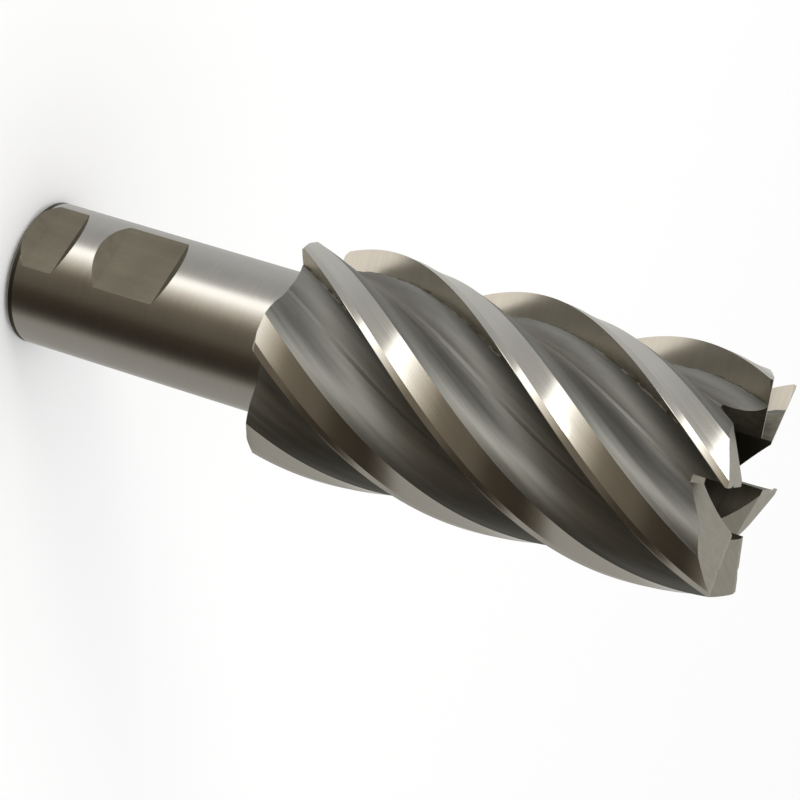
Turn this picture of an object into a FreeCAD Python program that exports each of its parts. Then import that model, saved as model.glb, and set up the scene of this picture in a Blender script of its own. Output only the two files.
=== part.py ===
import FreeCAD, Part
import math
import os

import Sketcher

# A square end mill with right-hand helical teeth on a straight shank that has two drive flats.
# The tool stands on the end of its shank. Its axis is Z, the origin is the centre of the shank's
# end face, the end teeth are at the top, and the outer end of one end edge lies towards +X.

ORIGIN_POINT = (-1, 1)
X_AXIS_LINE, Y_AXIS_LINE = range(-1, -3, -1)
START, END, CENTRE = range(1, 4)

SIZES = (
    # overall
    ("overall_length", 165.1),
    ("cutter_length", 101.6),
    ("cutter_radius", 25.4),
    ("rear_chamfer", 0.8),
    # shank, measured from its end face
    ("shank_radius", 15.875),
    ("shank_chamfer", 1.2),
    ("flat_depth", 2.6),
    ("flat_direction", -97.0),
    ("flat_wall_slope", 45.0),
    ("front_flat_start", 20.9),
    ("front_flat_length", 14.1),
    ("rear_flat_start", 3.7),
    ("rear_flat_length", 6.7),
    # flutes, in the section across the axis
    ("tooth_count", 6),
    ("lead", 205.0),
    ("flute_depth", 9.0),
    ("rake_angle", 8.0),
    ("rake_width", 6.0),
    ("gullet_radius", 5.0),
    ("back_radius", 58.0),
    ("margin_width", 0.12),
    ("primary_width", 1.7),
    ("primary_relief", 10.0),
    ("land_width", 7.7),
    ("secondary_relief", 23.3),
    ("heel_width", 1.2),
    ("heel_slope", 22.0),
    # end teeth
    ("dish_angle", 1.5),
    ("edge_setback", 0.5),
    ("end_primary_width", 1.2),
    ("end_primary_relief", 7.0),
    ("end_secondary_relief", 20.0),
    ("gash_depth", 4.2),
    ("gash_pitch", 16.0),
    ("gash_back_slope", 55.0),
    ("gash_root_width", 1.6),
    ("recess_radius", 11.5),
    ("recess_depth", 13.0),
    # turning centres in both ends
    ("centre_radius", 4.0),
    ("centre_half_angle", 30.0),
    ("centre_pilot_radius", 1.6),
    ("centre_pilot_depth", 3.0),
    # how far every cut starts and ends outside the steel
    ("cut_clearance", 2.0),
)


def make_sheet(doc):
    """The driving dimensions, in millimetres and degrees."""
    sheet = doc.addObject("Spreadsheet::Sheet", "Sizes")
    for row, (alias, value) in enumerate(SIZES, start=1):
        sheet.set("A%d" % row, alias.replace("_", " "))
        sheet.set("B%d" % row, str(value))
        sheet.setAlias("B%d" % row, alias)
    doc.recompute()
    return sheet


def origin_item(body, role):
    """One of the body's own origin planes or axes."""
    return next(item for item in body.Origin.OriginFeatures if item.Role == role)


def new_sketch(body, name, plane, offset=None):
    """A sketch on an origin plane. The offset is an expression for its place on that plane."""
    sketch = body.newObject("Sketcher::SketchObject", name)
    sketch.AttachmentSupport = [(origin_item(body, plane), "")]
    sketch.MapMode = "FlatFace"
    if offset:
        sketch.setExpression("AttachmentOffset", offset)
    body.Document.recompute()
    return sketch


def measure(sketch, expression):
    """The number that an expression over the sheet gives."""
    return float(sketch.evalExpression(expression))


def pin(sketch, curve, end, x, y):
    """Holds one end of a curve at a point given by two expressions."""
    for kind, axis, expression in (("DistanceX", Y_AXIS_LINE, x), ("DistanceY", X_AXIS_LINE, y)):
        if expression == "0":
            sketch.addConstraint(Sketcher.Constraint("PointOnObject", curve, end, axis))
            continue
        value = measure(sketch, expression)
        index = sketch.addConstraint(Sketcher.Constraint(kind, *ORIGIN_POINT, curve, end, value))
        sketch.setExpression("Constraints[%d]" % index, expression)


def polygon(sketch, corners):
    """A closed outline of straight lines through corners given as pairs of expressions."""
    points = [FreeCAD.Vector(measure(sketch, x), measure(sketch, y), 0) for x, y in corners]
    following = points[1:] + points[:1]
    lines = [sketch.addGeometry(Part.LineSegment(a, b)) for a, b in zip(points, following)]
    for line, after in zip(lines, lines[1:] + lines[:1]):
        sketch.addConstraint(Sketcher.Constraint("Coincident", line, END, after, START))
    for line, (x, y) in zip(lines, corners):
        pin(sketch, line, START, x, y)
    return lines


def revolve(body, name, kind, corners, place=None):
    """Turns an outline of (radius, height) corners about the tool's axis."""
    sketch = new_sketch(body, name + "_outline", "XZ_Plane", place)
    polygon(sketch, corners)
    feature = body.newObject(kind, name)
    feature.Profile = sketch
    feature.ReferenceAxis = (sketch, ["V_Axis"])
    feature.Angle = 360.0
    body.Document.recompute()
    return feature


def repeat_round_axis(body, name, features):
    """Repeats features once for each tooth."""
    pattern = body.newObject("PartDesign::PolarPattern", name)
    pattern.Originals = features
    pattern.Axis = (origin_item(body, "Z_Axis"), [""])
    pattern.Angle = 360.0
    pattern.setExpression("Occurrences", "Sizes.tooth_count")
    body.Tip = pattern
    body.Document.recompute()
    return pattern


def cutter_blank(body):
    """The plain cylinder that the teeth are cut from, chamfered at its rear edge."""
    rear = "Sizes.overall_length - Sizes.cutter_length"
    return revolve(body, "cutter_blank", "PartDesign::Revolution", [
        ("0", rear),
        ("Sizes.cutter_radius - Sizes.rear_chamfer", rear),
        ("Sizes.cutter_radius", rear + " + Sizes.rear_chamfer"),
        ("Sizes.cutter_radius", "Sizes.overall_length"),
        ("0", "Sizes.overall_length"),
    ])


def polar(radius, angle):
    """Expressions for the point at a radius and an angle in degrees."""
    return ("(%s) * cos(%s)" % (radius, angle), "(%s) * sin(%s)" % (radius, angle))


def step(point, length, angle):
    """Expressions for the point that lies a length away from another, in a direction."""
    x, y = point
    return ("%s + (%s) * cos(%s)" % (x, length, angle), "%s + (%s) * sin(%s)" % (y, length, angle))


def arc_between(centre, radius, start, end):
    """An arc, counter-clockwise from one point to another."""
    angles = [math.atan2(p.y - centre.y, p.x - centre.x) for p in (start, end)]
    circle = Part.Circle(centre, FreeCAD.Vector(0, 0, 1), radius)
    return Part.ArcOfCircle(circle, angles[0], angles[1])


def circle_centre(first, first_distance, second, second_distance):
    """The point at given distances from two points, on the left of the way between them."""
    way = second - first
    along = (first_distance**2 - second_distance**2 + way.Length**2) / (2 * way.Length)
    across = math.sqrt(first_distance**2 - along**2)
    way.normalize()
    return first + way * along + FreeCAD.Vector(-way.y, way.x, 0) * across


def flute_section(body):
    """What one flute removes, seen along the axis, with the following tooth's edge on +X.

    From that edge the rake face runs inwards, the gullet rounds the core, the flute's back
    climbs to the heel of the tooth ahead, and two flat lands rise from the heel to its edge.
    """
    run = "(Sizes.cutter_length + Sizes.cut_clearance)"
    place = ("placement(vector(0; 0; Sizes.overall_length - %s);"
             " rotationz(-360 * %s / Sizes.lead))" % (run, run))
    sketch = new_sketch(body, "flute_section", "XY_Plane", place)

    pitch = "360 / Sizes.tooth_count"
    margin_angle = "Sizes.margin_width / Sizes.cutter_radius * 180 / pi"
    margin = "%s - %s" % (pitch, margin_angle)
    primary = "%s - 90 - Sizes.primary_relief" % pitch
    secondary = "%s - 90 - Sizes.secondary_relief" % pitch
    heel_back = "%s - 90 - Sizes.secondary_relief - Sizes.heel_slope" % pitch
    outside = "Sizes.cutter_radius + Sizes.cut_clearance"
    core = "Sizes.cutter_radius - Sizes.flute_depth"
    tooth_edge = ("Sizes.cutter_radius", "0")
    margin_edge = polar("Sizes.cutter_radius", margin)
    primary_end = step(margin_edge, "Sizes.primary_width", primary)
    heel = step(primary_end, "Sizes.land_width - Sizes.primary_width", secondary)
    outline = [
        step(heel, "Sizes.heel_width", heel_back),
        heel,
        primary_end,
        step(margin_edge, "-Sizes.margin_width / 2", primary),
        polar(outside, "%s - %s" % (margin, margin_angle)),
        polar(outside, "0"),
        step(tooth_edge, "-Sizes.rake_width", "Sizes.rake_angle"),
    ]
    points = [FreeCAD.Vector(measure(sketch, x), measure(sketch, y), 0) for x, y in outline]
    heel_root, rake_root = points[0], points[-1]
    axis = FreeCAD.Vector(0, 0, 0)
    core_radius = measure(sketch, core)
    gullet_radius = measure(sketch, "Sizes.gullet_radius")
    back_radius = measure(sketch, "Sizes.back_radius")
    gullet_centre = circle_centre(axis, core_radius + gullet_radius, rake_root, gullet_radius)
    back_centre = circle_centre(heel_root, back_radius, gullet_centre, back_radius - gullet_radius)
    meeting = gullet_centre + (gullet_centre - back_centre).normalize() * gullet_radius

    edges = [Part.LineSegment(a, b) for a, b in zip(points[:4], points[1:4])]
    edges.append(Part.LineSegment(points[3], points[4]))
    lines = [sketch.addGeometry(edge) for edge in edges]
    outer = sketch.addGeometry(arc_between(axis, points[4].Length, points[5], points[4]))
    entry = sketch.addGeometry(Part.LineSegment(points[5], rake_root))
    gullet = sketch.addGeometry(arc_between(gullet_centre, gullet_radius, meeting, rake_root))
    back = sketch.addGeometry(arc_between(back_centre, back_radius, heel_root, meeting))
    core_circle = sketch.addGeometry(Part.Circle(axis, FreeCAD.Vector(0, 0, 1), core_radius), True)

    for line, after in zip(lines, lines[1:]):
        sketch.addConstraint(Sketcher.Constraint("Coincident", line, END, after, START))
    for curve, point in zip(lines + [entry], outline[:4] + [outline[5]]):
        pin(sketch, curve, START, *point)
    pin(sketch, entry, END, *outline[6])
    pin(sketch, lines[-1], END, *outline[4])
    sketch.addConstraint(Sketcher.Constraint("Coincident", outer, END, lines[-1], END))
    sketch.addConstraint(Sketcher.Constraint("Coincident", outer, START, entry, START))
    sketch.addConstraint(Sketcher.Constraint("Coincident", core_circle, CENTRE, *ORIGIN_POINT))
    sketch.addConstraint(Sketcher.Constraint("Coincident", gullet, END, entry, END))
    sketch.addConstraint(Sketcher.Constraint("Coincident", back, START, lines[0], START))
    sketch.addConstraint(Sketcher.Constraint("Tangent", back, END, gullet, START))
    sketch.addConstraint(Sketcher.Constraint("Tangent", gullet, core_circle))
    for curve, radius in ((core_circle, core), (gullet, "Sizes.gullet_radius"),
                          (back, "Sizes.back_radius"), (outer, outside)):
        value = measure(sketch, radius)
        index = sketch.addConstraint(Sketcher.Constraint("Radius", curve, value))
        sketch.setExpression("Constraints[%d]" % index, radius)
    return sketch


def cut_flutes(body):
    """A flute for each tooth, on right-hand helices that run out past both ends of the cutter."""
    flute = body.newObject("PartDesign::SubtractiveHelix", "flute")
    flute.Profile = flute_section(body)
    flute.ReferenceAxis = (origin_item(body, "Z_Axis"), [""])
    flute.Mode = "pitch-height-angle"
    flute.LeftHanded = False
    flute.Refine = False
    flute.setExpression("Pitch", "Sizes.lead")
    flute.setExpression("Height", "Sizes.cutter_length + 2 * Sizes.cut_clearance")
    body.Document.recompute()
    repeat_round_axis(body, "flutes", [flute])


def prism(body, name, plane, place, corners, length):
    """Cuts a straight-sided outline through the body, along its plane's own normal."""
    sketch = new_sketch(body, name + "_outline", plane, place)
    polygon(sketch, corners)
    cut = body.newObject("PartDesign::Pocket", name)
    cut.Profile = sketch
    cut.Reversed = True
    cut.Refine = False
    cut.setExpression("Length", length)
    body.Document.recompute()
    return cut


def end_land(body, name, start, drop, relief):
    """A flat that starts some way behind and below an end edge and leans down away from it.

    It spans two thirds of the pitch of the teeth.
    """
    place = ("placement(vector(Sizes.cutter_radius; -Sizes.edge_setback - %s;"
             " Sizes.overall_length - %s); rotationy(-Sizes.dish_angle) * rotationx(%s))"
             % (start, drop, relief))
    clear = "Sizes.cut_clearance"
    return prism(body, name, "XY_Plane", place, [
        ("-Sizes.cutter_radius", clear),
        (clear, clear),
        (clear, "-(Sizes.cutter_radius + %s) * tan(240 / Sizes.tooth_count)" % clear),
    ], "Sizes.cutter_radius")


def cut_end_teeth(body):
    """The gash before each end tooth and the two lands behind its edge, once for each tooth.

    The gash is a notch with an upright face along the end edge and a sloping back. Its root
    runs down and outwards from near the axis into the flute.
    """
    gash_place = ("placement(vector(0; Sizes.overall_length - Sizes.gash_depth; 0);"
                  " rotationx(Sizes.gash_pitch))")
    root = "Sizes.gash_root_width - Sizes.edge_setback"
    height = "Sizes.cutter_radius"
    gash = prism(body, "gash", "YZ_Plane", gash_place, [
        ("-Sizes.edge_setback", "0"),
        (root, "0"),
        ("%s + %s * tan(Sizes.gash_back_slope)" % (root, height), height),
        ("-Sizes.edge_setback", height),
    ], "2 * Sizes.cutter_radius")
    drop = "Sizes.end_primary_width * tan(Sizes.end_primary_relief)"
    primary = end_land(body, "end_primary", "0", "0", "Sizes.end_primary_relief")
    secondary = end_land(body, "end_secondary", "Sizes.end_primary_width", drop,
                         "Sizes.end_secondary_relief")
    repeat_round_axis(body, "end_teeth", [gash, primary, secondary])


def cut_recess(body):
    """The bored recess that the end edges stop at, with a turning centre in its floor."""
    top = "Sizes.overall_length"
    floor = "Sizes.overall_length - Sizes.recess_depth"
    cone = "(Sizes.centre_radius - Sizes.centre_pilot_radius) / tan(Sizes.centre_half_angle)"
    pilot = "%s - %s" % (floor, cone)
    return revolve(body, "recess", "PartDesign::Groove", [
        ("0", top + " + Sizes.cut_clearance"),
        ("Sizes.recess_radius", top + " + Sizes.cut_clearance"),
        ("Sizes.recess_radius", floor),
        ("Sizes.centre_radius", floor),
        ("Sizes.centre_pilot_radius", pilot),
        ("Sizes.centre_pilot_radius", pilot + " - Sizes.centre_pilot_depth"),
        ("0", pilot + " - Sizes.centre_pilot_depth"),
    ])


def add_shank(body):
    """The straight shank, turned in one with the core, with a chamfer and a turning centre.

    The seam of its surface lies half a pitch from the first tooth, where it clears the flats.
    """
    rear = "Sizes.overall_length - Sizes.cutter_length"
    cone = "(Sizes.centre_radius - Sizes.centre_pilot_radius) / tan(Sizes.centre_half_angle)"
    half_pitch = "placement(vector(0; 0; 0); rotationy(-180 / Sizes.tooth_count))"
    return revolve(body, "shank", "PartDesign::Revolution", [
        ("0", cone + " + Sizes.centre_pilot_depth"),
        ("Sizes.centre_pilot_radius", cone + " + Sizes.centre_pilot_depth"),
        ("Sizes.centre_pilot_radius", cone),
        ("Sizes.centre_radius", "0"),
        ("Sizes.shank_radius - Sizes.shank_chamfer", "0"),
        ("Sizes.shank_radius", "Sizes.shank_chamfer"),
        ("Sizes.shank_radius", rear),
        ("0", rear),
    ], half_pitch)


def cut_flat(body, name, start, length):
    """One drive flat across the shank, with walls that slope out from its floor."""
    floor = "Sizes.shank_radius - Sizes.flat_depth"
    rise = "Sizes.flat_depth + Sizes.cut_clearance"
    run = "(%s) * tan(Sizes.flat_wall_slope)" % rise
    place = "placement(vector(0; 0; 0); rotationy(Sizes.flat_direction))"
    cut = prism(body, name, "XZ_Plane", place, [
        (floor, start),
        ("%s + %s" % (floor, rise), "%s - %s" % (start, run)),
        ("%s + %s" % (floor, rise), "%s + %s + %s" % (start, length, run)),
        (floor, "%s + %s" % (start, length)),
    ], "2 * Sizes.shank_radius")
    cut.Midplane = True
    body.Document.recompute()
    return cut


def build(doc):
    """The whole tool, in the order in which it is cut."""
    make_sheet(doc)
    body = doc.addObject("PartDesign::Body", "end_mill")
    body.Label = "end_mill"
    cutter_blank(body)
    cut_flutes(body)
    cut_end_teeth(body)
    cut_recess(body)
    add_shank(body)
    cut_flat(body, "front_flat", "Sizes.front_flat_start", "Sizes.front_flat_length")
    cut_flat(body, "rear_flat", "Sizes.rear_flat_start", "Sizes.rear_flat_length")
    doc.recompute()
    return body


def check(doc, body):
    """Stops unless every feature is sound and the tool is one valid solid."""
    for item in doc.Objects:
        failed = {"Invalid", "Error"} & set(item.State)
        if failed:
            raise RuntimeError("%s is %s" % (item.Name, ", ".join(failed)))
    if body.Shape.isNull() or not body.Shape.isValid() or len(body.Shape.Solids) != 1:
        raise RuntimeError("%s is not one valid solid" % body.Label)


def main():
    doc = FreeCAD.newDocument("square_end_mill")
    body = build(doc)
    check(doc, body)
    os.makedirs("parts", exist_ok=True)
    body.Shape.exportStep("parts/%s.step" % body.Label)
    print("%s: volume %.0f mm3" % (body.Label, body.Shape.Volume))


main()
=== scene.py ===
import math

import bpy
from bpy.props import FloatProperty, FloatVectorProperty, IntProperty, PointerProperty
from mathutils import Matrix, Vector, noise
from mathutils.geometry import interpolate_bezier
from mathutils.kdtree import KDTree


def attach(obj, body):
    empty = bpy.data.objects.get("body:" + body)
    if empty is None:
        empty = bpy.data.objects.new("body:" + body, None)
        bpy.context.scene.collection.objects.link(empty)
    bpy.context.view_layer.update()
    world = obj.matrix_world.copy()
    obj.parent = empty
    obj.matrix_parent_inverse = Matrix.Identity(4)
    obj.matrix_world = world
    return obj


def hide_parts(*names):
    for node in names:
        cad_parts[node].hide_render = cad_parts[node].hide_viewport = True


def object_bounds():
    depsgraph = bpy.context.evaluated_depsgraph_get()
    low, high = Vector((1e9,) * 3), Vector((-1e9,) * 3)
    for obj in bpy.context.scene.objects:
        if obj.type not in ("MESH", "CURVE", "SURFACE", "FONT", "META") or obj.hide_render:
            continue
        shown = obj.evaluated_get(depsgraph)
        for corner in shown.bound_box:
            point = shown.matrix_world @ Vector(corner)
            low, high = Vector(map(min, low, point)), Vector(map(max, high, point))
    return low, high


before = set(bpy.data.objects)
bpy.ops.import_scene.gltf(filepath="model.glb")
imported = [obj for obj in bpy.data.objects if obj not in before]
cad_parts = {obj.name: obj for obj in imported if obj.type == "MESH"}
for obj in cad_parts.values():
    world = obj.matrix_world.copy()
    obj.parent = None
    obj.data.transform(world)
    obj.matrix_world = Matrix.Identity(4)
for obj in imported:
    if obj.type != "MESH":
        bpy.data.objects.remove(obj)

bl_info = {
    "name": "Square end mill",
    "version": (1, 0, 0),
    "blender": (4, 5, 0),
    "location": "View3D > Sidebar > End mill",
    "description": "Models a square end mill with helical teeth, and its studio",
    "category": "Object",
}

# The tool stands on its shank's end face, with its axis on Z and its end teeth at the top.
CAD_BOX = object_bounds()
TOP = CAD_BOX[1].z
NODE = "end_mill"

# Distance at which corners are merged, and at which two places are taken for one.
MERGE_DISTANCE = 1e-7
SAME_PLACE = 1e-6
# How far the body of a cutting tool stands clear of the steel.
CLEAR = 0.002
# Depth below the cutting edges down to which the core's rise leaves the teeth as they are, and
# down to which the gashes have no wall of painted shade.
SHOULDER = 0.003
# Extra rings of the toothed bar past each end of the cutter, which are cut off again.
OVERRUN_RINGS = 2
# Share of its length over which a swept curve holds its way at each end.
CURVE_HOLD = 0.4
# Faces that meet at less than this are shaded as one.
SMOOTH_ANGLE = math.radians(6.0)

# Sockets of a colour mix: its two colours, and its result.
MIX_FIRST, MIX_SECOND, MIX_RESULT = 6, 7, 2
# Usual ranges of a noise, narrow and wide, and of the sum of two noises.
NARROW = (0.3, 0.7)
WIDE = (0.25, 0.75)
SUM = (0.7, 1.3)

# What the steel mirrors round it: a strip light, a dark side and pale grey walls.
# Each entry has a direction from +X, in degrees, and a colour.
SURROUND = (
    (-180, (0.60, 0.60, 0.59)), (-150, (0.48, 0.48, 0.47)), (-121, (0.50, 0.49, 0.46)),
    (-118, (2.30, 2.28, 2.20)), (-106, (2.10, 2.05, 1.94)), (-96, (1.10, 1.04, 0.93)),
    (-84, (0.56, 0.50, 0.40)), (-72, (0.21, 0.18, 0.135)), (-55, (0.16, 0.135, 0.10)),
    (-42, (0.15, 0.125, 0.095)), (-27, (0.06, 0.049, 0.034)), (0, (0.04, 0.033, 0.024)),
    (12, (0.12, 0.105, 0.08)), (22, (0.40, 0.385, 0.35)), (80, (0.43, 0.42, 0.39)),
    (110, (0.66, 0.65, 0.62)), (180, (0.60, 0.60, 0.59)),
)
# The upward part of a direction between which the surround fades into the floor's colour.
FLOOR_FADE = (-0.68, -0.95)
SURROUND_RADIUS = 3.0
FLOOR_SIZE = 8.0

# The key lamp: its place, what it faces, its width and height, power and colour.
KEY_PLACE = (-0.24, -0.78, 0.5)
KEY_AIM = (0.0, 0.0, 0.08)
KEY_SIZE = (0.25, 0.6)
KEY_POWER = 1.6
KEY_TINT = (1.0, 0.97, 0.92)
SENSOR_WIDTH = 36.0


def length(name, text, default):
    return FloatProperty(name=name, description=text, default=default, unit="LENGTH", precision=5)


def degrees(name, text, default):
    return FloatProperty(name=name, description=text, default=math.radians(default), unit="ROTATION")


def colour(name, text, default):
    return FloatVectorProperty(name=name, description=text, default=default, subtype="COLOR",
                               size=3, min=0.0, max=1.0)


def number(name, text, default):
    return FloatProperty(name=name, description=text, default=default)


def count(name, text, default):
    return IntProperty(name=name, description=text, default=default, min=1)


class CutterSizes(bpy.types.PropertyGroup):
    """The toothed end: its section across the axis, and the helix that the section follows."""

    length: length("Length", "Length of the toothed end", 0.1016)
    # The CAD box is that of a mesh, which is a hair narrower than the true circle.
    radius: length("Radius", "Radius at the cutting edges", min(0.0254, CAD_BOX[1].y))
    chamfer: length("Rear chamfer", "Chamfer round the rear face", 0.0008)
    teeth: count("Teeth", "Number of teeth", 6)
    lead: length("Lead", "Height of one full turn of the helix", 0.205)
    flute_depth: length("Flute depth", "Depth of a flute below the edges", 0.009)
    rake: degrees("Rake", "Lean of the rake face from the radius", 8.0)
    rake_width: length("Rake width", "Width of the ground band of the rake face", 0.006)
    crease: length("Crease", "Step from the ground rake band to the milled flute", 0.0003)
    gullet_radius: length("Gullet radius", "Radius at the bottom of a flute", 0.005)
    back_radius: length("Back radius", "Radius of the tooth's back", 0.058)
    ridge: length("Ridge", "Height of the ridge between the two passes that cut a flute", 0.0003)
    ridge_width: length("Ridge width", "Width of that ridge's slope", 0.0009)
    back_slope: degrees("Back slope", "Slope of the back where it meets the heel's facet", 46.0)
    core_rise: number("Core rise", "Share of the depth that the flutes lose at the rear face", 0.38)
    ledge_wander: length("Ledge wander", "How far the crease strays from its line", 0.0003)
    margin: length("Margin", "Width of the round margin behind an edge", 0.00012)
    primary_width: length("Primary width", "Width of the primary land", 0.0017)
    primary_relief: degrees("Primary relief", "Slope of the primary land", 10.0)
    land_width: length("Land width", "Width of both lands together", 0.0077)
    secondary_relief: degrees("Secondary relief", "Slope of the secondary land", 23.3)
    heel_width: length("Heel width", "Width of the facet behind the lands", 0.0012)
    heel_slope: degrees("Heel slope", "Further slope of the heel's facet", 22.0)
    flat_steps: count("Flat steps", "Facets across a wide flat", 4)
    arc_steps: count("Arc steps", "Facets round a gullet, and up a tooth's back", 24)
    turn_steps: count("Turn steps", "Rings along the teeth", 168)


class EndSizes(bpy.types.PropertyGroup):
    """The teeth and the recess in the cutting end."""

    dish: degrees("Dish", "Fall of the end edges towards the axis", 1.5)
    setback: length("Setback", "Distance of an end edge behind the radius", 0.0005)
    primary_width: length("Primary width", "Width of the end teeth's primary land", 0.0012)
    primary_relief: degrees("Primary relief", "Slope of the primary land", 7.0)
    secondary_relief: degrees("Secondary relief", "Slope of the secondary land", 20.0)
    land_span: degrees("Land span", "Angle that the lands' cutter sweeps", 45.0)
    gash_depth: length("Gash depth", "Depth of the gash at the axis", 0.0042)
    gash_pitch: degrees("Gash pitch", "Fall of the gash's root outwards", 16.0)
    gash_back: degrees("Gash back", "Slope of the gash's back from upright", 55.0)
    gash_root: length("Gash root", "Width of the gash's root", 0.0016)
    recess_radius: length("Recess radius", "Radius of the bored recess", 0.0115)
    recess_depth: length("Recess depth", "Depth of the bored recess", 0.013)
    centre_radius: length("Centre radius", "Mouth radius of a turning centre", 0.004)
    centre_angle: degrees("Centre angle", "Half angle of a turning centre", 30.0)
    pilot_radius: length("Pilot radius", "Radius of a centre's pilot hole", 0.0016)
    pilot_depth: length("Pilot depth", "Depth of a centre's pilot hole", 0.003)
    round_steps: count("Round steps", "Facets round the recess", 192)


class ShankSizes(bpy.types.PropertyGroup):
    """The straight shank and its two drive flats."""

    radius: length("Radius", "Radius of the shank", 0.015875)
    chamfer: length("Chamfer", "Chamfer at the shank's end", 0.0012)
    # The rim takes the dark colour of painted shade, the contact shadow at the shank's foot.
    rim: length("Rim", "Height of the dull rim at the shank's end", 0.0022)
    flat_depth: length("Flat depth", "Depth of the drive flats", 0.0026)
    flat_direction: degrees("Flat direction", "Direction that the flats face, from +X", -97.0)
    flat_slope: degrees("Flat slope", "Slope of the flats' end walls", 45.0)
    front_start: length("Front flat start", "Start of the front flat's floor", 0.0209)
    front_length: length("Front flat length", "Length of the front flat's floor", 0.0141)
    rear_start: length("Rear flat start", "Start of the rear flat's floor", 0.0033)
    rear_length: length("Rear flat length", "Length of the rear flat's floor", 0.0071)
    round_steps: count("Round steps", "Facets round the shank", 288)


class SteelColours(bpy.types.PropertyGroup):
    """The steel's colour where each kind of wheel or cutter left its finish."""

    ground: colour("Ground", "Cylindrically ground shank", (0.56, 0.545, 0.52))
    flat: colour("Flat", "Surface-ground drive flats", (0.215, 0.195, 0.152))
    land: colour("Land", "Ground lands behind the edges", (0.65, 0.63, 0.59))
    rake: colour("Rake", "Ground band of the rake faces", (0.70, 0.635, 0.53))
    flute: colour("Flute", "Milled flutes", (0.27, 0.271, 0.257))
    # Painted shade: a dark colour for the crease beside each rake band and for the gash walls.
    ledge: colour("Ledge", "Ledges beside the rake bands, gash walls", (0.13, 0.125, 0.105))
    end: colour("End", "Ground end teeth", (0.425, 0.405, 0.35))
    # Painted shade: a dark colour for the recess, the centres and the rim at the shank's end.
    turned: colour("Turned", "Turned recess, centres and rim", (0.10, 0.092, 0.074))


class StageSettings(bpy.types.PropertyGroup):
    """The floor, the even light and the camera."""

    floor: colour("Floor", "Colour of the floor", (0.965, 0.965, 0.965))
    sky: colour("Sky", "Colour of the even light from all round", (1.0, 1.0, 1.0))
    lens: number("Lens", "Focal length in mm, for a 36 mm sensor", 109.35)
    camera_at: FloatVectorProperty(name="Camera", description="Place of the camera", size=3,
                                   default=(0.2079, -0.4316, 0.2547), subtype="TRANSLATION")
    view: FloatVectorProperty(name="View", description="Direction that the camera looks in",
                              size=3, default=(-0.40307, 0.85451, -0.32754), subtype="DIRECTION")
    picture_up: FloatVectorProperty(name="Picture up", description="Direction of the frame's top",
                                    size=3, default=(-0.82277, -0.49509, -0.27913),
                                    subtype="DIRECTION")


def settings():
    return bpy.context.scene.end_mill


def choose(piece):
    """Selects this object and nothing else, and makes it the active one."""
    bpy.ops.object.select_all(action="DESELECT")
    piece.select_set(True)
    bpy.context.view_layer.objects.active = piece


def in_edit_mode(piece, *steps):
    """Runs steps on a piece in edit mode, with all of it selected."""
    choose(piece)
    bpy.ops.object.mode_set(mode="EDIT")
    bpy.ops.mesh.select_all(action="SELECT")
    for step in steps:
        step()
    bpy.ops.object.mode_set(mode="OBJECT")


def apply_modifier(piece, kind, **values):
    """Adds a modifier to a piece and applies it."""
    choose(piece)
    modifier = piece.modifiers.new(kind.title(), kind)
    for name, value in values.items():
        setattr(modifier, name, value)
    bpy.ops.object.modifier_apply(modifier=modifier.name)


def outward(piece):
    """Merges what coincides and turns every face outwards."""
    in_edit_mode(piece, lambda: bpy.ops.mesh.remove_doubles(threshold=MERGE_DISTANCE),
                 lambda: bpy.ops.mesh.normals_make_consistent(inside=False))


def polygon(name, points, material=None, filled=True):
    """A circle primitive whose corners are drawn out to an outline in the plane z = 0."""
    bpy.ops.object.select_all(action="DESELECT")
    fill = "NGON" if filled else "NOTHING"
    bpy.ops.mesh.primitive_circle_add(vertices=len(points), fill_type=fill)
    piece = bpy.context.object
    piece.name = name
    for vertex, point in zip(piece.data.vertices, points):
        vertex.co = (point[0], point[1], 0.0)
    if material:
        piece.data.materials.append(material)
    return piece


def extrude(piece, height):
    """Draws a flat outline up into a solid."""
    in_edit_mode(piece, lambda: bpy.ops.mesh.extrude_region_move(
        TRANSFORM_OT_translate={"value": (0, 0, height)}))
    outward(piece)
    return piece


def turned(name, points, steps, material):
    """A solid of revolution about Z from (radius, height) corners."""
    piece = polygon(name, points, material, filled=False)
    stand = Matrix.Rotation(math.pi / 2, 4, "X")
    piece.data.transform(stand)
    in_edit_mode(piece, lambda: bpy.ops.mesh.spin(
        steps=steps, angle=2 * math.pi, center=(0, 0, 0), axis=(0, 0, 1)))
    outward(piece)
    return piece


def cut(piece, tool, operation="DIFFERENCE"):
    """Cuts a piece with a tool, or joins the two, and removes the tool."""
    apply_modifier(piece, "BOOLEAN", operation=operation, object=tool, solver="EXACT",
                   material_mode="TRANSFER")
    bpy.data.objects.remove(tool)


def toward(angle, distance=1.0):
    return Vector((math.cos(angle), math.sin(angle))) * distance


def circle_centre(first, first_distance, second, second_distance):
    """The point at given distances from two points, on the left of the way between them."""
    way = second - first
    along = (first_distance**2 - second_distance**2 + way.length**2) / (2 * way.length)
    across = math.sqrt(first_distance**2 - along**2)
    way.normalize()
    return first + way * along + Vector((-way.y, way.x)) * across


def arc(centre, start, end, steps):
    """Points round a centre from start to end by the shorter way, without the first."""
    first = start - centre
    turn = first.angle_signed(end - centre)
    return [centre + Matrix.Rotation(-turn * i / steps, 2) @ first for i in range(1, steps + 1)]


def line(start, end, steps):
    """Points along a straight line, without the first."""
    return [start.lerp(end, i / steps) for i in range(1, steps + 1)]


def swept(start, start_way, end, end_way, steps):
    """Points along a smooth curve that leaves start and reaches end in given ways."""
    hold = (end - start).length * CURVE_HOLD
    first = start + start_way.normalized() * hold
    second = end + end_way.normalized() * hold
    curve = interpolate_bezier(start.to_3d(), first.to_3d(), second.to_3d(), end.to_3d(), steps + 1)
    return [point.to_2d() for point in curve[1:]]


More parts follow.
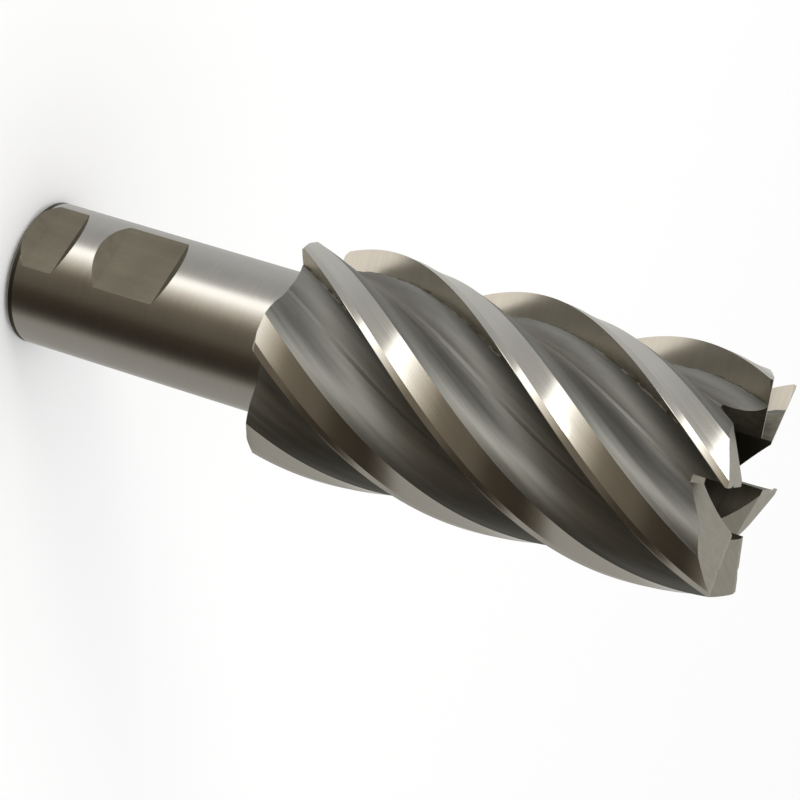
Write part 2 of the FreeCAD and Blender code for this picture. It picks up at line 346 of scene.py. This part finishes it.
def flute_outline(sizes):
    """One pitch of the section, from a tooth's edge on +X round to the edge of the tooth ahead.

    Gives the points and the finish of the strip that ends at each point.
    """
    pitch = 2 * math.pi / sizes.teeth
    square = math.pi / 2
    edge = Vector((sizes.radius, 0.0))
    rake_root = edge - toward(sizes.rake, sizes.rake_width)
    crease = rake_root + toward(sizes.rake + square, sizes.crease)
    core = sizes.radius - sizes.flute_depth
    margin_edge = toward(pitch - sizes.margin / sizes.radius, sizes.radius)
    primary_end = margin_edge + toward(pitch - square - sizes.primary_relief, sizes.primary_width)
    slope = pitch - square - sizes.secondary_relief
    heel = primary_end + toward(slope, sizes.land_width - sizes.primary_width)
    heel_root = heel + toward(slope - sizes.heel_slope, sizes.heel_width)
    gullet = sizes.gullet_radius
    middle = circle_centre(Vector((0.0, 0.0)), core + gullet, crease, gullet)
    back = circle_centre(heel_root, sizes.back_radius, middle, sizes.back_radius - gullet)
    meeting = middle + (middle - back).normalized() * gullet
    onward = (back - meeting).orthogonal().normalized()
    ridge_foot = meeting + onward * sizes.ridge_width - meeting.normalized() * sizes.ridge
    strips = [
        ("rake", line(edge, rake_root, sizes.flat_steps)),
        # The ledge strip takes the dark colour of painted shade in the crease.
        ("ledge", line(rake_root, crease, 1)),
        ("flute", arc(middle, crease, meeting, sizes.arc_steps)),
        ("flute", line(meeting, ridge_foot, 1)),
        ("flute", swept(ridge_foot, onward, heel_root,
                        toward(pitch - square - sizes.back_slope), sizes.arc_steps)),
        ("flute", line(heel_root, heel, 1)),
        ("land", line(heel, primary_end, sizes.flat_steps)),
        ("land", line(primary_end, margin_edge, 1)),
        ("land", line(margin_edge, toward(pitch, sizes.radius), 1)),
    ]
    points = [edge]
    finishes = []
    for finish, run in strips:
        points += run
        finishes += [finish] * len(run)
    return points, finishes


def helix_turn(sizes, height):
    """The angle by which the section has turned at a height, counted from the cutting end."""
    return 2 * math.pi * (height - TOP) / sizes.lead


def toothed_bar(sizes, materials):
    """The section of all the teeth, drawn along the helix past both ends of the cutter."""
    pitch_points, finishes = flute_outline(sizes)
    pitch = 2 * math.pi / sizes.teeth
    points = []
    for tooth in range(sizes.teeth):
        turn = Matrix.Rotation(tooth * pitch, 2)
        points += [turn @ point for point in pitch_points[:-1]]
    bar = polygon("toothed_bar", points, filled=False)
    overrun = sizes.length / sizes.turn_steps * OVERRUN_RINGS
    bottom = TOP - sizes.length - overrun
    height = sizes.length + 2 * overrun
    bar.data.transform(Matrix.Translation((0, 0, bottom)) @ Matrix.Rotation(
        helix_turn(sizes, bottom), 4, "Z"))
    steps = sizes.turn_steps + 2 * OVERRUN_RINGS
    apply_modifier(bar, "SCREW", angle=2 * math.pi * height / sizes.lead, screw_offset=height,
                   steps=steps, render_steps=steps, use_merge_vertices=False)
    close_ends(bar, (bottom, bottom + height))
    outward(bar)
    paint_strips(bar, sizes, pitch_points, finishes, materials)
    wander_ledge(bar, sizes, pitch_points, finishes)
    raise_core(bar, sizes)
    return bar


def close_ends(piece, heights):
    """Fills the open loops at these heights."""
    for height in heights:
        choose(piece)
        bpy.ops.object.mode_set(mode="EDIT")
        bpy.ops.mesh.select_all(action="DESELECT")
        bpy.ops.object.mode_set(mode="OBJECT")
        for vertex in piece.data.vertices:
            vertex.select = abs(vertex.co.z - height) < SAME_PLACE
        bpy.ops.object.mode_set(mode="EDIT")
        bpy.ops.mesh.edge_face_add()
        bpy.ops.object.mode_set(mode="OBJECT")


def paint_strips(piece, sizes, points, finishes, materials):
    """Gives each face the finish of the strip of the section that it lies on."""
    names = list(dict.fromkeys(finishes))
    for name in names:
        piece.data.materials.append(materials[name])
    pitch = 2 * math.pi / sizes.teeth
    tree = KDTree(2 * len(finishes))
    for index, (start, end) in enumerate(zip(points, points[1:])):
        middle = start.lerp(end, 0.5)
        tree.insert(middle.to_3d(), index)
        tree.insert((Matrix.Rotation(pitch, 2) @ middle).to_3d(), index)
    tree.balance()
    for face in piece.data.polygons:
        centre = face.center
        angle = math.atan2(centre.y, centre.x) - helix_turn(sizes, centre.z)
        radius = centre.to_2d().length
        found = tree.find(toward(angle % pitch, radius).to_3d())
        face.material_index = names.index(finishes[found[1]])


def wander_ledge(piece, sizes, points, finishes):
    """Lets the ledge between the rake band and the flute stray a little, as a wheel leaves it."""
    near = 1e-5
    corner_seeds = (0.0, 7.3)
    seed_per_tooth = 3.7
    bends_per_metre = 420.0
    roughness, spacing, layers = 0.6, 2.0, 3
    pitch = 2 * math.pi / sizes.teeth
    root = finishes.index("ledge")
    corners = list(zip(points[root:root + 2], corner_seeds))
    for vertex in piece.data.vertices:
        turn = helix_turn(sizes, vertex.co.z)
        flat = vertex.co.to_2d()
        angle = math.atan2(flat.y, flat.x) - turn
        tooth = round(angle / pitch)
        section = toward(angle - tooth * pitch, flat.length)
        for corner, seed in corners:
            if (section - corner).length < near:
                place = Vector((tooth * seed_per_tooth, seed, vertex.co.z * bends_per_metre))
                stray = noise.fractal(place, roughness, spacing, layers) * sizes.ledge_wander
                vertex.co += (toward(turn + tooth * pitch + sizes.rake) * stray).to_3d()


def raise_core(piece, sizes):
    """Lets the flutes grow shallower towards the rear face."""
    shoulder = sizes.radius - SHOULDER
    for vertex in piece.data.vertices:
        radius = vertex.co.to_2d().length
        if radius < shoulder:
            rise = sizes.core_rise * min(1.0, (TOP - vertex.co.z) / sizes.length)
            wanted = radius + (shoulder - radius) * max(0.0, rise)
            vertex.co.x *= wanted / radius
            vertex.co.y *= wanted / radius


def end_land(name, start, drop, relief, cutter, ends, material):
    """The wedge that leaves one flat behind an end edge, for the tooth on +X."""
    reach = (cutter.radius + CLEAR) * math.tan(ends.land_span)
    wedge = polygon(name, [(-cutter.radius, CLEAR), (CLEAR, CLEAR), (CLEAR, -reach)], material)
    extrude(wedge, cutter.radius)
    wedge.data.transform(
        Matrix.Translation((cutter.radius, -ends.setback - start, TOP - drop))
        @ Matrix.Rotation(-ends.dish, 4, "Y") @ Matrix.Rotation(relief, 4, "X"))
    return wedge


def gash(cutter, ends, material, wall):
    """The notch in front of one end edge, for the tooth on +X, with its upright wall's material, a
    dark colour of painted shade.
    """
    nearly_square = 0.99
    rise = cutter.radius
    root = ends.gash_root - ends.setback
    outline = [(-ends.setback, 0.0), (root, 0.0),
               (root + rise * math.tan(ends.gash_back), rise), (-ends.setback, rise)]
    notch = polygon("gash", outline, material)
    extrude(notch, 2 * cutter.radius)
    notch.data.materials.append(wall)
    for face in notch.data.polygons:
        # Faces of the upright wall take the dark colour of painted shade.
        face.material_index = int(face.normal.x < -nearly_square)
    # Lays the notch's length along X and its height along Z.
    across = Matrix(((0, 0, 1, 0), (1, 0, 0, 0), (0, 1, 0, 0), (0, 0, 0, 1)))
    notch.data.transform(Matrix.Translation((0, 0, TOP - ends.gash_depth))
                         @ Matrix.Rotation(ends.gash_pitch, 4, "Y") @ across)
    return notch


def cut_end_teeth(piece, cutter, ends, materials):
    """A gash and two lands for each tooth."""
    drop = ends.primary_width * math.tan(ends.primary_relief)
    tools = [
        # The gash's upright wall is painted shade.
        gash(cutter, ends, materials["end"], materials["ledge"]),
        end_land("end_primary", 0.0, 0.0, ends.primary_relief, cutter, ends, materials["end"]),
        end_land("end_secondary", ends.primary_width, drop, ends.secondary_relief, cutter, ends,
                 materials["end"]),
    ]
    pitch = 2 * math.pi / cutter.teeth
    for tool in tools:
        for tooth in range(cutter.teeth):
            copy = tool.copy()
            copy.data = tool.data.copy()
            bpy.context.collection.objects.link(copy)
            copy.data.transform(Matrix.Rotation(tooth * pitch, 4, "Z"))
            cut(piece, copy)
        bpy.data.objects.remove(tool)
    clean_corners(piece, cutter, materials)


def clean_corners(piece, cutter, materials):
    """Gives what a gash leaves of its painted-shade wall at the outer corners the end's finish."""
    corner = cutter.radius - SHOULDER
    slots = list(piece.data.materials)
    # The slot of the painted-shade colour.
    dark = slots.index(materials["ledge"])
    for face in piece.data.polygons:
        if face.material_index == dark and face.center.to_2d().length > corner:
            face.material_index = slots.index(materials["end"])


def cutter_blank(cutter, ends, materials):
    """The turned bar between the rear face, with its chamfer, and the recess in the end."""
    rear = TOP - cutter.length
    floor = TOP - ends.recess_depth
    cone = (ends.centre_radius - ends.pilot_radius) / math.tan(ends.centre_angle)
    proud = cutter.radius + CLEAR / 2
    blank = turned("blank", [
        (0.0, rear), (cutter.radius - cutter.chamfer, rear),
        (proud, rear + proud - cutter.radius + cutter.chamfer), (proud, TOP),
        (ends.recess_radius, TOP), (ends.recess_radius, floor),
        (ends.centre_radius, floor), (ends.pilot_radius, floor - cone),
        (ends.pilot_radius, floor - cone - ends.pilot_depth),
        (0.0, floor - cone - ends.pilot_depth)], ends.round_steps, materials["end"])
    # The recess and its centres take the dark colour of painted shade.
    blank.data.materials.append(materials["turned"])
    for face in blank.data.polygons:
        inside = face.center.to_2d().length < ends.recess_radius + SAME_PLACE
        face.material_index = int(inside and face.center.z > rear + SAME_PLACE)
    return blank


def shank(cutter, ends, sizes, materials):
    """The straight shank with its chamfer, turning centre and drive flats."""
    rear = TOP - cutter.length
    cone = (ends.centre_radius - ends.pilot_radius) / math.tan(ends.centre_angle)
    inside = 2 * CLEAR
    bar = turned("shank", [
        (0.0, cone + ends.pilot_depth), (ends.pilot_radius, cone + ends.pilot_depth),
        (ends.pilot_radius, cone), (ends.centre_radius, 0.0),
        (sizes.radius - sizes.chamfer, 0.0), (sizes.radius, sizes.chamfer),
        (sizes.radius, sizes.rim), (sizes.radius, rear + inside), (0.0, rear + inside)],
        sizes.round_steps, materials["ground"])
    # The rim, chamfer and end face take the dark colour of painted shade.
    bar.data.materials.append(materials["turned"])
    for face in bar.data.polygons:
        face.material_index = int(face.center.z < sizes.rim)
    floor = sizes.radius - sizes.flat_depth
    rise = sizes.flat_depth + CLEAR
    spread = rise * math.tan(sizes.flat_slope)
    for start, run in ((sizes.front_start, sizes.front_length),
                       (sizes.rear_start, sizes.rear_length)):
        notch = polygon("flat", [
            (floor, start), (floor, start + run), (floor + rise, start + run + spread),
            (floor + rise, start - spread)], materials["flat"])
        extrude(notch, 2 * sizes.radius)
        notch.data.transform(Matrix.Rotation(sizes.flat_direction, 4, "Z")
                             @ Matrix.Rotation(math.pi / 2, 4, "X")
                             @ Matrix.Translation((0, 0, -sizes.radius)))
        cut(bar, notch)
    return bar


def node(tree, kind, inputs=(), **values):
    """A shader node with its settings and its inputs set or linked."""
    made = tree.nodes.new(kind)
    for name, value in values.items():
        setattr(made, name, value)
    for name, value in dict(inputs).items():
        if isinstance(value, bpy.types.NodeSocket):
            tree.links.new(value, made.inputs[name])
        else:
            made.inputs[name].default_value = value
    return made


def new_material(name, colour, roughness, anisotropic=0.0):
    """A metal material. Gives it, its node tree, its shader and its Object coordinates."""
    material = bpy.data.materials.new(name)
    material.use_nodes = True
    material.diffuse_color = (*colour, 1.0)
    tree = material.node_tree
    shader = tree.nodes["Principled BSDF"]
    shader.inputs["Metallic"].default_value = 1.0
    shader.inputs["Roughness"].default_value = roughness
    shader.inputs["Base Color"].default_value = (*colour, 1.0)
    if anisotropic:
        shader.inputs["Anisotropic"].default_value = anisotropic
        tangent = node(tree, "ShaderNodeTangent", direction_type="RADIAL", axis="Z")
        tree.links.new(tangent.outputs["Tangent"], shader.inputs["Tangent"])
    place = node(tree, "ShaderNodeTexCoord").outputs["Object"]
    return material, tree, shader, place


def unwind(tree, place, lead):
    """Object coordinates with the helix taken out, so that a pattern follows the teeth."""
    split = node(tree, "ShaderNodeSeparateXYZ", {"Vector": place})
    down = node(tree, "ShaderNodeMath", {0: TOP, 1: split.outputs["Z"]}, operation="SUBTRACT")
    angle = node(tree, "ShaderNodeMath", {0: down.outputs[0], 1: 2 * math.pi / lead},
                 operation="MULTIPLY")
    return node(tree, "ShaderNodeVectorRotate", {"Vector": place, "Angle": angle.outputs[0]},
                rotation_type="Z_AXIS").outputs["Vector"]


def streaks(tree, place, scale, stretch, detail=4.0, roughness=0.6):
    """Noise that is drawn out along each axis by the inverse of stretch."""
    mapped = node(tree, "ShaderNodeMapping", {"Vector": place, "Scale": stretch})
    return node(tree, "ShaderNodeTexNoise", {
        "Vector": mapped.outputs[0], "Scale": scale, "Detail": detail,
        "Roughness": roughness}).outputs["Fac"]


def total(tree, first, second):
    """The sum of two values."""
    return node(tree, "ShaderNodeMath", {0: first, 1: second}, operation="ADD").outputs[0]


def ramp(tree, value, given, wanted):
    """Maps the given range of a value to the range wanted."""
    return node(tree, "ShaderNodeMapRange", {
        "Value": value, "From Min": given[0], "From Max": given[1], "To Min": wanted[0],
        "To Max": wanted[1]}).outputs["Result"]


def shade(tree, shader, colour, factor):
    """Multiplies the steel's colour by a factor."""
    grey = node(tree, "ShaderNodeCombineXYZ", {0: factor, 1: factor, 2: factor})
    made = node(tree, "ShaderNodeMix", {
        MIX_FIRST: (*colour, 1.0), MIX_SECOND: grey.outputs[0], "Factor": 1.0},
                data_type="RGBA", blend_type="MULTIPLY")
    tree.links.new(made.outputs[MIX_RESULT], shader.inputs["Base Color"])


def relief(tree, shader, height, depth, strength):
    """Fine relief in the steel, of a depth in metres."""
    bump = node(tree, "ShaderNodeBump", {"Height": height, "Distance": depth,
                                         "Strength": strength})
    tree.links.new(bump.outputs["Normal"], shader.inputs["Normal"])


def ground_steel(values):
    """Cylindrical grinding: fine lines round the axis."""
    colour = values.colours.ground
    material, tree, shader, place = new_material(
        "ground_shank", colour, roughness=0.18, anisotropic=0.8)
    lines = streaks(tree, place, scale=1500.0, stretch=(0.0, 0.0, 1.0))
    cloud = streaks(tree, place, scale=110.0, stretch=(1.0, 1.0, 1.0), detail=3.0)
    both = total(tree, lines, cloud)
    shade(tree, shader, colour, ramp(tree, both, SUM, (0.95, 1.05)))
    tree.links.new(ramp(tree, both, SUM, (0.165, 0.205)), shader.inputs["Roughness"])
    relief(tree, shader, lines, depth=0.00001, strength=0.02)
    return material


def flat_steel(values):
    """Surface grinding on the drive flats: lines along the shank, and a dull face."""
    colour = values.colours.flat
    material, tree, shader, place = new_material("ground_flat", colour, roughness=0.34)
    lines = streaks(tree, place, scale=700.0, stretch=(0.5, 0.5, 0.06))
    mottle = streaks(tree, place, scale=90.0, stretch=(1.0, 1.0, 1.0), detail=6.0)
    both = total(tree, lines, mottle)
    shade(tree, shader, colour, ramp(tree, both, SUM, (0.84, 1.16)))
    relief(tree, shader, lines, depth=0.00003, strength=0.25)
    return material


def land_steel(values):
    """Ground lands: lines along the tooth."""
    colour = values.colours.land
    material, tree, shader, place = new_material(
        "ground_land", colour, roughness=0.17, anisotropic=0.4)
    wound = unwind(tree, place, values.cutter.lead)
    lines = streaks(tree, wound, scale=1300.0, stretch=(1.0, 1.0, 0.03))
    shade(tree, shader, colour, ramp(tree, lines, WIDE, (0.95, 1.04)))
    tree.links.new(ramp(tree, lines, NARROW, (0.15, 0.19)), shader.inputs["Roughness"])
    relief(tree, shader, lines, depth=0.00001, strength=0.03)
    return material


def rake_steel(values):
    """Ground rake band: fine lines across the tooth."""
    colour = values.colours.rake
    material, tree, shader, place = new_material(
        "ground_rake", colour, roughness=0.28, anisotropic=0.4)
    lines = streaks(tree, place, scale=900.0, stretch=(0.1, 0.1, 1.0))
    shade(tree, shader, colour, ramp(tree, lines, WIDE, (0.93, 1.05)))
    relief(tree, shader, lines, depth=0.00002, strength=0.06)
    return material


def flute_steel(values):
    """Milled flutes: dull and dark, with uneven marks drawn out along the helix."""
    colour = values.colours.flute
    material, tree, shader, place = new_material("milled_flute", colour, roughness=0.58)
    wound = unwind(tree, place, values.cutter.lead)
    bands = streaks(tree, wound, scale=330.0, stretch=(1.0, 1.0, 0.02), detail=2.0)
    marks = streaks(tree, wound, scale=700.0, stretch=(1.0, 1.0, 0.12), detail=5.0,
                    roughness=0.65)
    both = total(tree, bands, marks)
    shade(tree, shader, colour, ramp(tree, both, SUM, (0.8, 1.2)))
    tree.links.new(ramp(tree, marks, NARROW, (0.54, 0.62)), shader.inputs["Roughness"])
    relief(tree, shader, bands, depth=0.0005, strength=0.2)
    return material


def ledge_shade_steel(values):
    """Ledges and gash walls, given a dark colour as painted shade in the crease and the notches."""
    colour = values.colours.ledge
    material, tree, shader, place = new_material("ledge_painted_shade", colour, roughness=0.45)
    wound = unwind(tree, place, values.cutter.lead)
    marks = streaks(tree, wound, scale=900.0, stretch=(1.0, 1.0, 0.06), detail=5.0)
    shade(tree, shader, colour, ramp(tree, marks, NARROW, (0.75, 1.3)))
    relief(tree, shader, marks, depth=0.00005, strength=0.2)
    return material


def end_steel(values):
    """Ground end teeth, gashes and rear face."""
    colour = values.colours.end
    material, tree, shader, place = new_material("ground_end", colour, roughness=0.4)
    lines = streaks(tree, place, scale=800.0, stretch=(1.0, 0.08, 1.0))
    shade(tree, shader, colour, ramp(tree, lines, WIDE, (0.88, 1.08)))
    relief(tree, shader, lines, depth=0.00002, strength=0.2)
    return material


def recess_and_rim_shade_steel(values):
    """The turned recess, centres and rim, darkened as painted shade: shade in the hollows, and the
    contact shadow at the shank's foot.
    """
    colour = values.colours.turned
    material, tree, shader, place = new_material("recess_and_rim_painted_shade", colour, roughness=0.5)
    lines = streaks(tree, place, scale=500.0, stretch=(0.06, 0.06, 1.0))
    shade(tree, shader, colour, ramp(tree, lines, WIDE, (0.7, 1.25)))
    relief(tree, shader, lines, depth=0.00005, strength=0.3)
    return material


FINISHES = {
    "ground": ground_steel,
    "flat": flat_steel,
    "land": land_steel,
    "rake": rake_steel,
    "flute": flute_steel,
    # Painted shade for the ledges and the gash walls.
    "ledge": ledge_shade_steel,
    "end": end_steel,
    # Painted shade for the recess, the centres and the rim.
    "turned": recess_and_rim_shade_steel,
}


class END_MILL_OT_tool(bpy.types.Operator):
    """Models the end mill: shank, flutes, end teeth and recess in one piece of steel"""

    bl_idname = "end_mill.tool"
    bl_label = "End mill"

    def execute(self, context):
        values = settings()
        materials = {name: make(values) for name, make in FINISHES.items()}
        piece = toothed_bar(values.cutter, materials)
        cut(piece, cutter_blank(values.cutter, values.ends, materials), "INTERSECT")
        cut_end_teeth(piece, values.cutter, values.ends, materials)
        cut(piece, shank(values.cutter, values.ends, values.shank, materials), "UNION")
        piece.name = "end_mill_steel"
        piece.data.name = piece.name
        choose(piece)
        bpy.ops.object.shade_smooth_by_angle(angle=SMOOTH_ANGLE)
        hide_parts(NODE)
        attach(piece, "root")
        return {"FINISHED"}


def area_lamp(name, place, aim, size, power, tint):
    """A rectangular softbox that faces a point."""
    lamp = bpy.data.lights.new(name, "AREA")
    lamp.shape = "RECTANGLE"
    lamp.size, lamp.size_y = size
    lamp.energy = power
    lamp.color = tint
    holder = bpy.data.objects.new(name, lamp)
    bpy.context.collection.objects.link(holder)
    holder.location = place
    way = Vector(aim) - Vector(place)
    holder.rotation_euler = way.to_track_quat("-Z", "Y").to_euler()
    holder.visible_camera = False


def surround_material(floor_colour):
    """The strips of light and dark round the tool, which fade into the pale floor below."""
    material = bpy.data.materials.new("studio_surround")
    material.use_nodes = True
    tree = material.node_tree
    tree.nodes.clear()
    place = node(tree, "ShaderNodeTexCoord").outputs["Object"]
    way = node(tree, "ShaderNodeVectorMath", {0: place}, operation="NORMALIZE").outputs[0]
    angle = node(tree, "ShaderNodeTexGradient", {"Vector": way}, gradient_type="RADIAL")
    strips = node(tree, "ShaderNodeValToRGB", {"Fac": angle.outputs["Fac"]})
    # The ramp's whole length is one turn, from -180 to 180 degrees.
    elements = strips.color_ramp.elements
    while len(elements) < len(SURROUND):
        elements.new(0.5)
    for element, (direction, tint) in zip(elements, SURROUND):
        element.position = direction / 360 + 0.5
        element.color = (*tint, 1.0)
    up = node(tree, "ShaderNodeSeparateXYZ", {"Vector": way}).outputs["Z"]
    below = node(tree, "ShaderNodeMapRange", {
        "Value": up, "From Min": FLOOR_FADE[0], "From Max": FLOOR_FADE[1]},
                 interpolation_type="SMOOTHSTEP").outputs["Result"]
    mixed = node(tree, "ShaderNodeMix", {
        "Factor": below, MIX_FIRST: strips.outputs["Color"], MIX_SECOND: (*floor_colour, 1.0)},
                 data_type="RGBA")
    light = node(tree, "ShaderNodeEmission", {"Color": mixed.outputs[MIX_RESULT]})
    node(tree, "ShaderNodeOutputMaterial", {"Surface": light.outputs[0]})
    return material


class END_MILL_OT_stage(bpy.types.Operator):
    """Makes the pale floor, the soft light and the camera"""

    bl_idname = "end_mill.stage"
    bl_label = "Stage"

    def execute(self, context):
        values = settings().stage
        scene = context.scene
        scene.view_settings.view_transform = "Standard"
        bpy.ops.object.select_all(action="DESELECT")
        bpy.ops.mesh.primitive_plane_add(size=FLOOR_SIZE, location=(0, 0, 0))
        floor = context.object
        floor.name = "floor"
        surface = bpy.data.materials.new("pale_floor")
        surface.use_nodes = True
        shader = surface.node_tree.nodes["Principled BSDF"]
        shader.inputs["Base Color"].default_value = (*values.floor, 1.0)
        shader.inputs["Roughness"].default_value = 0.9
        shader.inputs["Specular IOR Level"].default_value = 0.0
        floor.data.materials.append(surface)
        floor.visible_glossy = False

        bpy.ops.object.select_all(action="DESELECT")
        bpy.ops.mesh.primitive_uv_sphere_add(segments=48, ring_count=24, radius=SURROUND_RADIUS)
        dome = context.object
        dome.name = "surround"
        dome.data.materials.append(surround_material(values.floor))
        dome.visible_camera = False
        dome.visible_diffuse = False
        dome.visible_shadow = False

        world = bpy.data.worlds.new("studio")
        scene.world = world
        world.use_nodes = True
        sky = world.node_tree.nodes["Background"]
        sky.inputs["Color"].default_value = (*values.sky, 1.0)

        area_lamp("key_softbox", KEY_PLACE, KEY_AIM, KEY_SIZE, KEY_POWER, KEY_TINT)

        camera = bpy.data.objects.new("camera", bpy.data.cameras.new("camera"))
        context.collection.objects.link(camera)
        camera.data.lens = values.lens
        camera.data.sensor_width = SENSOR_WIDTH
        camera.data.clip_start = 0.01
        back = -Vector(values.view).normalized()
        right = Vector(values.picture_up).cross(back).normalized()
        turn = Matrix((right, back.cross(right), back)).transposed()
        camera.matrix_world = Matrix.Translation(values.camera_at) @ turn.to_4x4()
        scene.camera = camera
        return {"FINISHED"}


class END_MILL_settings(bpy.types.PropertyGroup):
    """All of the settings of the end mill and its studio."""

    cutter: PointerProperty(name="Cutter", type=CutterSizes)
    ends: PointerProperty(name="End", type=EndSizes)
    shank: PointerProperty(name="Shank", type=ShankSizes)
    colours: PointerProperty(name="Colours", type=SteelColours)
    stage: PointerProperty(name="Stage", type=StageSettings)


class END_MILL_PT_panel(bpy.types.Panel):
    """Lists the steps that make the end mill and its studio"""

    bl_idname = "END_MILL_PT_panel"
    bl_label = "End mill"
    bl_space_type = "VIEW_3D"
    bl_region_type = "UI"
    bl_category = "End mill"

    def draw(self, context):
        for step in STEPS:
            self.layout.operator(step.bl_idname)


STEPS = (END_MILL_OT_tool, END_MILL_OT_stage)
GROUPS = (CutterSizes, EndSizes, ShankSizes, SteelColours, StageSettings, END_MILL_settings)
CLASSES = GROUPS + STEPS + (END_MILL_PT_panel,)


def register():
    for item in CLASSES:
        bpy.utils.register_class(item)
    bpy.types.Scene.end_mill = PointerProperty(type=END_MILL_settings)


def unregister():
    del bpy.types.Scene.end_mill
    for item in reversed(CLASSES):
        bpy.utils.unregister_class(item)


def main():
    register()
    bpy.ops.end_mill.tool()
    bpy.ops.end_mill.stage()
    bpy.context.view_layer.update()


if __name__ == "__main__":
    main()
